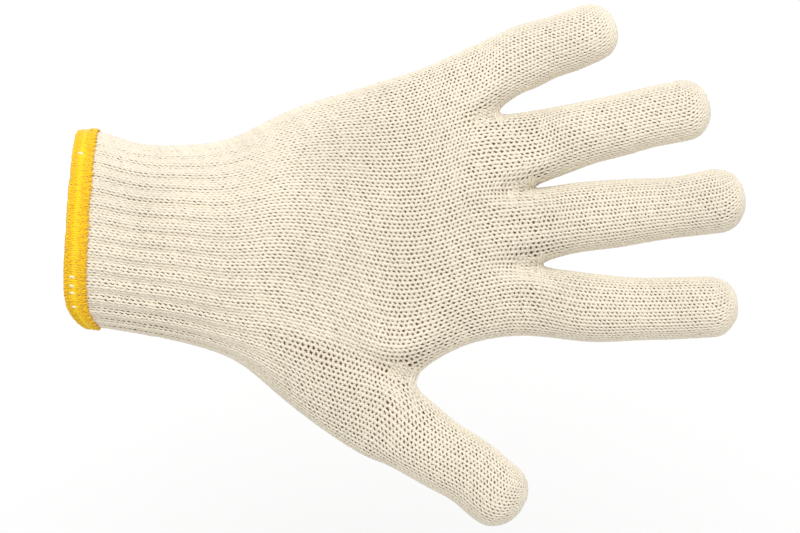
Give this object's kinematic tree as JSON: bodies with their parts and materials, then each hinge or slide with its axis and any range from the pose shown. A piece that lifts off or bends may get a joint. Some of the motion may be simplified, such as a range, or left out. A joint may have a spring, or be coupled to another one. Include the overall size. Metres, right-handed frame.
{
  "type": "cotton work glove",
  "caption": "Seamless string-knit cotton work glove in natural cream, with a ribbed wrist cuff and a yellow overlocked edge, shown in its worn form.",
  "frame": {"origin": "centre of the cuff's open mouth, where the hand goes in", "axes": "+X from the mouth towards the fingertips, +Y towards the little finger, +Z out of the back of the hand"},
  "size_m": [0.2339, 0.1806, 0.0486],
  "materials": {
    "cotton_knit": "matt cotton yarn",
    "edging_thread": "soft twisted thread"
  },
  "bodies": {
    "root": {"cuff_edging": "edging_thread", "rib_cuff": "cotton_knit", "lower_hand": "cotton_knit", "upper_hand": "cotton_knit", "little_finger": "cotton_knit", "ring_finger": "cotton_knit", "middle_finger": "cotton_knit", "index_finger": "cotton_knit", "thumb": "cotton_knit"}
  },
  "joints": []
}
